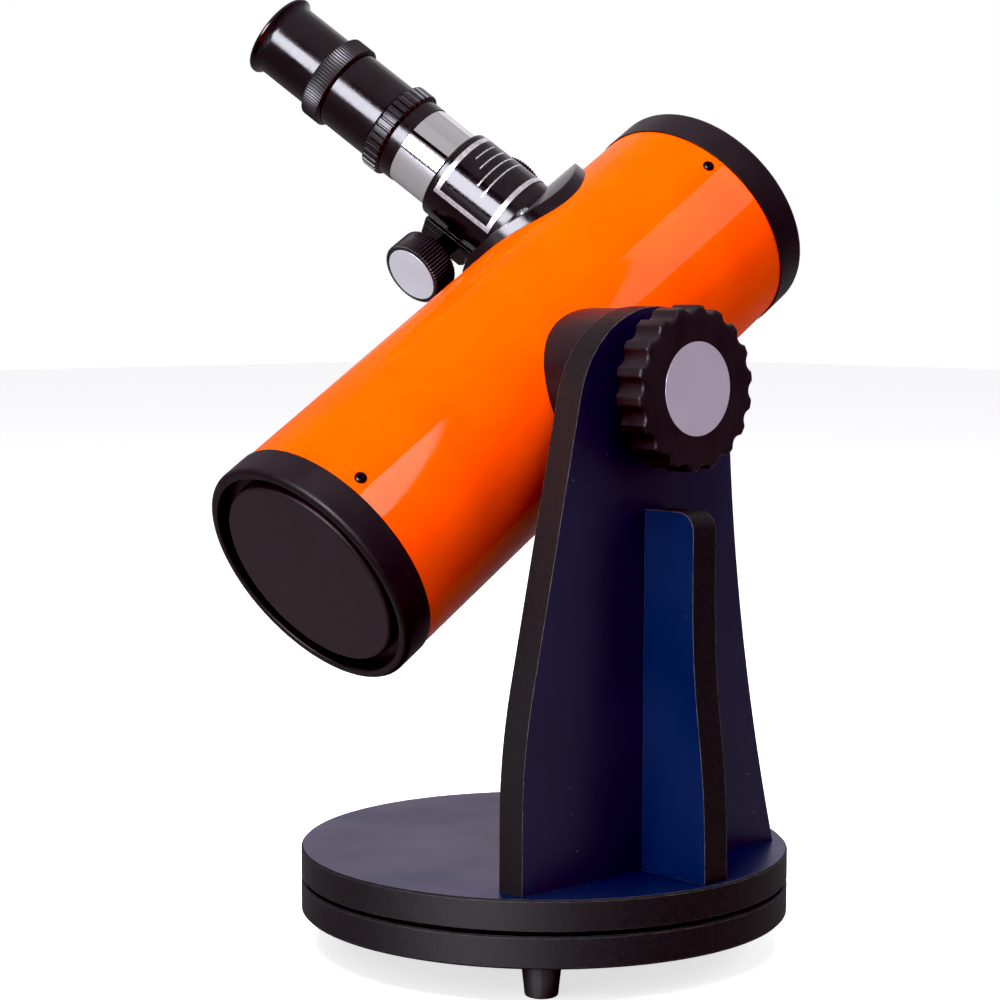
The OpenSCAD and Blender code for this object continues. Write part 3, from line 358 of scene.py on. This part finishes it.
materials = {
    "edge_painted_board": board("edge_painted_board", (0, 0, 1), srgb("171530"), srgb("1d1a38")),
    "navy_board": board("navy_board", (0, 0, 1), (0.002, 0.006, 0.023, 1), (0.003, 0.007, 0.027, 1)),
    # Painted sheen: the arm's laminate is the navy board made lighter and greyer
    "arm_board_painted_sheen": board("arm_board_painted_sheen", (0, 1, 0), (0.0115, 0.0125, 0.032, 1), (0.013, 0.014, 0.037, 1)),
    "blue_board": board("blue_board", (1, 0, 0), (0.002, 0.014, 0.068, 1), (0.003, 0.016, 0.078, 1)),
    "rubber": plastic("rubber", srgb("0d0b0c"), srgb("141112"), 0.62, 1500, 0.03 * MM, 0.4 * MM),
    "nylon": plastic("nylon", srgb("dedacb"), srgb("e8e5d8"), 0.45, 900, 0.01 * MM, 0.2 * MM),
    "zinc_steel": metal("zinc_steel", srgb("c9cbd2"), 0.2, 0.15 * MM),
    "black_steel": metal("black_steel", srgb("2a282c"), 0.3, 0.15 * MM),
    "orange_paint": enamel("orange_paint"),
    "satin_black_plastic": plastic("satin_black_plastic", srgb("1a1518"), srgb("1f191c"), 0.4, 1700,
                                   0.012 * MM, 0.35 * MM, specular=0.15),
    # Painted shade: the rings' satin black is made darker than the knob's, to take out the top light
    "ring_plastic_painted_shade": plastic("ring_plastic_painted_shade", srgb("120d10"), srgb("171115"), 0.42, 1700,
                            0.016 * MM, 0.35 * MM, specular=0.18),
    # Painted light: the mirror cell's satin black is made lighter than the knob's
    "cell_plastic_painted_light": plastic("cell_plastic_painted_light", srgb("2b2226"), srgb("31282c"), 0.45, 1500,
                            0.014 * MM, 0.35 * MM, specular=0.15),
    "gloss_black_plastic": plastic("gloss_black_plastic", srgb("0f0c0e"), srgb("141013"), 0.17, 700,
                                   0.003 * MM, 0.3 * MM, wear=0.15, specular=0.3),
    "ribbed_plastic": plastic("ribbed_plastic", srgb("120f12"), srgb("1b171b"), 0.36, 1300,
                              0.008 * MM, None, wear=0, specular=0.38),
    "label_foil": foil("label_foil"),
    "silver_cap": metal("silver_cap", srgb("efe4f3"), 0.5, 0.2 * MM, 1500, 0.006 * MM, 0.002, 0.03),
    # Painted light: the focus knobs' caps are the silver cap's metal made lighter and bluer
    "focus_cap_painted_light": metal("focus_cap_painted_light", srgb("f6f8ff"), 0.5, 0.2 * MM, 1500, 0.006 * MM, 0.002, 0.03),
    # Painted reflections: the chrome's dull patches are drawn out into dark streaks along the drawtube
    "chrome": metal("chrome", srgb("ebe8ea"), 0.045, None, 500, 0.001 * MM, 0.2, 0.4, 300, OUTWARD),
    "brass": metal("brass", srgb("c79c4c"), 0.22, 0.1 * MM),
    "foam": plastic("foam", srgb("2c2c2e"), srgb("3a3a3c"), 0.8, 1800, 0.1 * MM, 0.1 * MM),
    "mirror_coating": mirror("mirror_coating"),
    "lens_glass": glass("lens_glass"),
}


# ---------------------------------------------------------------- turned and ribbed pieces
def arc(height, radius, r, start, end, share, steps=5):
    """Points of a rounded corner: centre (height, radius), angles in degrees from the outward radius."""
    angles = [math.radians(start + (end - start) * i / steps) for i in range(steps + 1)]
    return [(height + r * math.sin(a), radius + r * math.cos(a), share) for a in angles]


Reach = namedtuple("Reach", "low high bore radius")


def reach(node, origin, axis):
    """Lowest and highest place along an axis, and the inner and outer radius, of a CAD node."""
    away = [v.co - origin for v in nodes[node].data.vertices]
    heights = [a.dot(axis) for a in away]
    radii = [(a - axis * a.dot(axis)).length for a in away]
    return Reach(min(heights), max(heights), min(radii), max(radii))


def turned(name, node, look, origin, axis, side, loop, steps, cut):
    """Solid turned about an axis, with the looks of a material. loop is a closed outline of (height,
    radius, share) points; cut(angle), times share, comes off the radius: ribs and scallops."""
    third = axis.cross(side)
    verts = []
    for height, radius, share in loop:
        for k in range(steps):
            a = 2 * math.pi * k / steps
            r = radius - share * cut(a)
            verts.append(origin + axis * height + (side * math.cos(a) + third * math.sin(a)) * r)
    faces = []
    rows = len(loop)
    for i in range(rows):
        for k in range(steps):
            j, n = (i + 1) % rows, (k + 1) % steps
            faces.append((i * steps + k, i * steps + n, j * steps + n, j * steps + k))
    mesh = bpy.data.meshes.new(name)
    mesh.from_pydata(verts, [], faces)
    shape = bmesh.new()
    shape.from_mesh(mesh)
    bmesh.ops.recalc_face_normals(shape, faces=shape.faces)
    shape.to_mesh(mesh)
    shape.free()
    mesh.shade_smooth()
    mesh.set_sharp_from_angle(angle=math.radians(38))
    obj = bpy.data.objects.new(name, mesh)
    bpy.context.scene.collection.objects.link(obj)
    mesh.materials.append(materials[look].material)
    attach(obj, node_body[node])
    return obj


def wave(count, depth, sharpness=1.0):
    """Rounded ribs: 0 on the crests and depth in the grooves."""
    return lambda a: depth * (0.5 - 0.5 * math.cos(count * a)) ** sharpness


def slots(count, depth, width):
    """Broad flat ribs with narrow grooves; width is the groove's share of the pitch."""
    def cut(a):
        phase = abs((a * count / (2 * math.pi)) % 1.0 - 0.5) * 2
        rise = min(1.0, max(0.0, (width - phase) / (0.45 * width)))
        return depth * rise * rise * (3 - 2 * rise)
    return cut


def scallops(radius, softness=0.45 * MM):
    """Scallops cut by round cutters, with their crests softened."""
    centre = radius + SCALLOP_R - SCALLOP_DEPTH
    pitch = 2 * math.pi / SCALLOPS

    def cut(a):
        turn = (a - SCALLOP_FIRST + pitch / 2) % pitch - pitch / 2
        aside = centre * math.sin(turn)
        wall = centre * math.cos(turn) - math.sqrt(max(0.0, SCALLOP_R ** 2 - aside ** 2))
        return softness * math.log(1 + math.exp((radius - wall) / softness))
    return cut


def tension_knob():
    """Black moulded knob with round scallops and a recess for its silver cap."""
    body = reach("tension_knob", KNOB_CENTRE, KNOB_AXIS)
    cap = reach("knob_cap", KNOB_CENTRE, KNOB_AXIS)
    bore, hub_r, rim_t = 4.02 * MM, 13 * MM, 13.2 * MM
    corner, chamfer, lead_in, foot, under_cap = 1.5 * MM, 0.5 * MM, 0.3 * MM, 1 * MM, 0.01 * MM
    rim_low = body.high - rim_t
    flat_r = body.radius - corner - SCALLOP_DEPTH - foot
    recess_r, recess_h = cap.radius + PLAY, cap.low - under_cap
    loop = [(body.low, bore, 0), (body.low, hub_r - chamfer, 0), (body.low + chamfer, hub_r, 0),
            (rim_low, hub_r, 0), (rim_low, flat_r, 0)]
    loop += arc(rim_low + corner, body.radius - corner, corner, -90, 0, 1)
    loop += arc(body.high - corner, body.radius - corner, corner, 0, 90, 1)
    loop += [(body.high, flat_r, 0), (body.high, cap.radius + lead_in, 0),
             (body.high - lead_in, recess_r, 0), (recess_h, recess_r, 0), (recess_h, bore, 0)]
    knob = turned("tension_knob_moulding", "tension_knob", "satin_black_plastic", KNOB_CENTRE,
                  KNOB_AXIS, ALONG, loop, SCALLOPS * 20, scallops(body.radius))
    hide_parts("tension_knob")


def focus_knobs():
    """The two ribbed focusing knobs, one at each end of the pinion shaft. Their hubs end 0.1 mm short
    of the CAD's, which leaves them clear of the pinion cover as they turn."""
    cap = reach("focus_knob_caps", FOCUS_CENTRE, ALONG)
    radius = reach("focus_knobs", FOCUS_CENTRE, ALONG).radius
    length, hub_l, hub_r, shaft = 12 * MM, 2.9 * MM, 6 * MM, 2.52 * MM
    recess, corner, rib, foot, lead_in = 0.8 * MM, 0.8 * MM, 0.5 * MM, 0.3 * MM, 0.25 * MM
    low, out = cap.high - length, cap.high
    loop = [(low - hub_l, shaft, 0), (low - hub_l, hub_r, 0), (low, hub_r, 0),
            (low, radius - corner - rib - foot, 0)]
    loop += arc(low + corner, radius - corner, corner, -90, 0, 1)
    loop += arc(out - corner, radius - corner, corner, 0, 90, 1)
    loop += [(out, cap.radius + lead_in, 0), (out - lead_in, cap.radius + PLAY, 0),
             (out - recess, cap.radius + PLAY, 0), (out - recess, shaft, 0)]
    for end, axis in (("rear", -ALONG), ("front", ALONG)):
        knob = turned("focus_knob_" + end, "focus_knobs", "ribbed_plastic", FOCUS_CENTRE, axis,
                      OUTWARD, loop, FOCUS_RIBS * 8, wave(FOCUS_RIBS, rib))
        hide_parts("focus_knobs")


def grip_ring():
    """Finely ribbed ring round the middle of the eyepiece."""
    body = reach("grip_ring", LOCK_CENTRE, OUTWARD)
    chamfer, rib, run_in = 0.9 * MM, 0.45 * MM, 0.4 * MM
    foot_r = body.radius - chamfer - rib
    loop = [(body.low, body.bore, 0), (body.low, foot_r, 0), (body.low + chamfer, body.radius, 0.3),
            (body.low + chamfer + run_in, body.radius, 1), (body.high - chamfer - run_in, body.radius, 1),
            (body.high - chamfer, body.radius, 0.3), (body.high, foot_r, 0), (body.high, body.bore, 0)]
    ring = turned("grip_ring_ribbed", "grip_ring", "ribbed_plastic", LOCK_CENTRE, OUTWARD, ALONG,
                  loop, GRIP_RIBS * 8, wave(GRIP_RIBS, rib, 0.8))
    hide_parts("grip_ring")


def lock_ring():
    """Boldly ribbed ring that clamps the eyepiece."""
    body = reach("lock_ring", LOCK_CENTRE, OUTWARD)
    nose_r, pocket_r, step, lip = 17.05 * MM, 17.3 * MM, 3.4 * MM, 1.2 * MM
    chamfer, rib, corner = 0.7 * MM, 1.0 * MM, 0.5 * MM
    foot_r = body.radius - chamfer - rib
    loop = [(body.low, nose_r, 0), (body.low, foot_r, 0)]
    loop += arc(body.low + chamfer + corner, body.radius - corner, corner, -60, 0, 1, 3)
    loop += arc(body.high - chamfer - corner, body.radius - corner, corner, 0, 60, 1, 3)
    loop += [(body.high, foot_r, 0), (body.high, body.bore, 0), (body.high - lip, body.bore, 0),
             (body.high - lip, pocket_r, 0), (body.low + step, pocket_r, 0), (body.low + step, nose_r, 0)]
    ring = turned("lock_ring_ribbed", "lock_ring", "ribbed_plastic", LOCK_CENTRE, OUTWARD, ALONG,
                  loop, LOCK_RIBS * 14, slots(LOCK_RIBS, rib, 0.42))
    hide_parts("lock_ring")


# CAD nodes whose material differs in colour from the one their slot is named after. These are lit and shaded
# copies: painted sheen on the arm, painted light on the focus caps and the mirror cell, painted shade on the
# rings
LOOKS = {"side_arm": "arm_board_painted_sheen", "focus_knob_caps": "focus_cap_painted_light", "mirror_cell": "cell_plastic_painted_light",
         "front_ring": "ring_plastic_painted_shade", "rear_ring": "ring_plastic_painted_shade"}
for name, obj in nodes.items():
    slot = node_slot[name]
    paint = materials[LOOKS.get(name, slot)]
    obj.data.materials.clear()
    obj.data.materials.append(paint.material)
tension_knob()
focus_knobs()
grip_ring()
lock_ring()


# ---------------------------------------------------------------- stage: floor, camera and light
def aim(obj, target, direction, distance, lean=0.0):
    """Puts a flat object where target sees it in a direction given as azimuth and elevation, facing
    target and turned by lean."""
    az, el = (math.radians(a) for a in direction)
    way = Vector((math.cos(az) * math.cos(el), math.sin(az) * math.cos(el), math.sin(el)))
    obj.location = target + way * distance
    obj.rotation_mode = "QUATERNION"
    obj.rotation_quaternion = way.to_track_quat("Z", "Y") @ Quaternion((0, 0, 1), math.radians(lean))


def flat_sheet(name, width, height, paint):
    """Rectangle in the XY plane, centred on the origin, as part of the stage."""
    mesh = bpy.data.meshes.new(name)
    corners = [(x * width / 2, y * height / 2, 0) for x, y in ((-1, -1), (1, -1), (1, 1), (-1, 1))]
    mesh.from_pydata(corners, [], [(0, 1, 2, 3)])
    mesh.materials.append(paint.material)
    obj = bpy.data.objects.new(name, mesh)
    bpy.context.scene.collection.objects.link(obj)
    return obj


def panel(name, target, direction, distance, width, height, radiance, shine=True, fill=True, only=(),
          lean=0.0, colour=(1, 1, 1)):
    """Softbox of a given radiance. shine: it shows in reflections. fill: it lights matt surfaces.
    only: the CAD nodes that it reaches, or all if none is named."""
    light = bpy.data.lights.new(name, "AREA")
    light.shape = "RECTANGLE"
    light.size, light.size_y = width, height
    light.energy = radiance * math.pi * width * height
    light.color = colour
    obj = bpy.data.objects.new(name, light)
    bpy.context.scene.collection.objects.link(obj)
    aim(obj, target, direction, distance, lean)
    obj.visible_camera = False
    obj.visible_glossy = shine
    obj.visible_diffuse = fill
    if only:
        reached = bpy.data.collections.new(name + "_reaches")
        for node in only:
            reached.objects.link(nodes[node])
        obj.light_linking.receiver_collection = reached


def flag(name, target, direction, distance, width, height):
    """Dark card beside the softbox, seen only in reflections."""
    cloth = Paint(name)
    cloth.set(Base_Color=cloth.mix(cloth.noise(4, 3), (0.02, 0.018, 0.022, 1), (0.03, 0.028, 0.032, 1)))
    cloth.set(Roughness=cloth.span(cloth.noise(9, 2), 0.3, 0.7, 0.8, 0.9))
    obj = flat_sheet(name, width, height, cloth)
    aim(obj, target, direction, distance)
    obj.visible_camera = False
    obj.visible_diffuse = False
    obj.visible_shadow = False


def pale_floor(width):
    """Pale floor. Only the camera sees it pale: it throws less light on the object than it shows."""
    paint = Paint("floor")
    seen = paint.make("ShaderNodeLightPath").outputs["Is Camera Ray"]
    pale = paint.mix(paint.noise(3, 3), (0.78, 0.78, 0.79, 1), (0.84, 0.84, 0.845, 1))
    paint.set(Base_Color=paint.mix(seen, (0.2, 0.196, 0.2, 1), pale))
    paint.set(Emission_Color=(1, 1, 1, 1), Emission_Strength=paint.math("MULTIPLY", seen, 0.7))
    paint.set(Roughness=paint.span(paint.noise(40, 3), 0.3, 0.7, 0.5, 0.62))
    flat_sheet("floor", width, width, paint)


SKY_LOW = (0.24, 0.195, 0.26, 1)
SKY_HIGH = (0.53, 0.515, 0.53, 1)
SKY_HIGH_FROM = 0.7
SKY_FILL = 0.42


def studio_world():
    """White to the camera. The object sees a grey room that gets lighter from SKY_LOW at the horizon
    to SKY_HIGH, and matt surfaces get only SKY_FILL of its light."""
    world = bpy.data.worlds.new("studio")
    bpy.context.scene.world = world
    world.use_nodes = True
    tree = world.node_tree
    tree.nodes.clear()
    out = tree.nodes.new("ShaderNodeOutputWorld")
    white = tree.nodes.new("ShaderNodeBackground")
    white.inputs["Color"].default_value = (1, 1, 1, 1)
    room = tree.nodes.new("ShaderNodeBackground")
    way = tree.nodes.new("ShaderNodeTexCoord")
    parts = tree.nodes.new("ShaderNodeSeparateXYZ")
    sky = tree.nodes.new("ShaderNodeValToRGB")
    share = tree.nodes.new("ShaderNodeMapRange")
    path = tree.nodes.new("ShaderNodeLightPath")
    blend = tree.nodes.new("ShaderNodeMixShader")
    for stop, colour in zip(sky.color_ramp.elements, (SKY_LOW, SKY_HIGH)):
        stop.color = colour
    sky.color_ramp.elements[1].position = SKY_HIGH_FROM
    share.inputs["To Min"].default_value = 1.0
    share.inputs["To Max"].default_value = SKY_FILL
    for source, target in ((way.outputs["Generated"], parts.inputs[0]), (parts.outputs["Z"], sky.inputs[0]),
                           (sky.outputs[0], room.inputs["Color"]),
                           (path.outputs["Is Diffuse Ray"], share.inputs["Value"]),
                           (share.outputs[0], room.inputs["Strength"]),
                           (path.outputs["Is Camera Ray"], blend.inputs[0]),
                           (room.outputs[0], blend.inputs[1]), (white.outputs[0], blend.inputs[2]),
                           (blend.outputs[0], out.inputs["Surface"])):
        tree.links.new(source, target)


low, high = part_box("main_tube")
tube_middle = (low + high) / 2

pale_floor(12.0)
panel("key_left", LOCK_CENTRE, (-163, 12), 3.0, 1.7, 1.36, 32.0, fill=False, colour=(0.97, 0.96, 1.08))
panel("key_right", tube_middle, (-60, 42), 1.6, 0.3, 0.95, 5.5, fill=False, only=["main_tube"])
panel("key_rear", tube_middle, (-89, 42.5), 1.6, 0.34, 0.72, 15.0, fill=False, only=["main_tube"], lean=17.5)
panel("backdrop", tube_middle, (38, 24), 3.0, 2.6, 2.2, 0.42, fill=False)
panel("violet", tube_middle, (40, 10), 3.0, 3.4, 1.4, 0.16, fill=False, only=["turntable_board"],
      colour=(0.45, 0.0, 1.0))
panel("top_fill", tube_middle - ALONG * 50 * MM, (-142, 74), 1.5, 1.2, 1.2, 12.6, shine=False)
panel("right_fill", tube_middle, (-38, 22), 1.6, 1.0, 1.0, 3.5, shine=False)
panel("left_fill", tube_middle, (-170, 20), 1.5, 1.0, 1.0, 2.4, shine=False)
flag("flag_high", LOCK_CENTRE, (-149, 34), 2.4, 2.2, 0.34)

studio_world()

# Camera: place in metres, direction, roll, and lens and sensor width in millimetres
CAMERA_PLACE = (-0.6561, -0.6787, 0.2546)
CAMERA_AIM = (0.67899, 0.72913, -0.08569)
CAMERA_ROLL = math.radians(0.166)
CAMERA_LENS = 87.8
CAMERA_SENSOR = 36
camera = bpy.data.objects.new("camera", bpy.data.cameras.new("camera"))
bpy.context.scene.collection.objects.link(camera)
ahead = Vector(CAMERA_AIM).normalized()
right = ahead.cross(Vector((0, 0, 1))).normalized()
up = right.cross(ahead)
rolled_right = right * math.cos(CAMERA_ROLL) + up * math.sin(CAMERA_ROLL)
rolled_up = up * math.cos(CAMERA_ROLL) - right * math.sin(CAMERA_ROLL)
turn = Matrix((rolled_right, rolled_up, -ahead)).transposed().to_4x4()
camera.matrix_world = Matrix.Translation(CAMERA_PLACE) @ turn
camera.data.lens = CAMERA_LENS
camera.data.sensor_width = CAMERA_SENSOR
camera.data.clip_start = 0.01
bpy.context.scene.camera = camera
view = bpy.context.scene.view_settings
view.view_transform = "Standard"
view.use_curve_mapping = True
view.curve_mapping.black_level = (0.006, 0.0098, 0.0096)
view.curve_mapping.update()
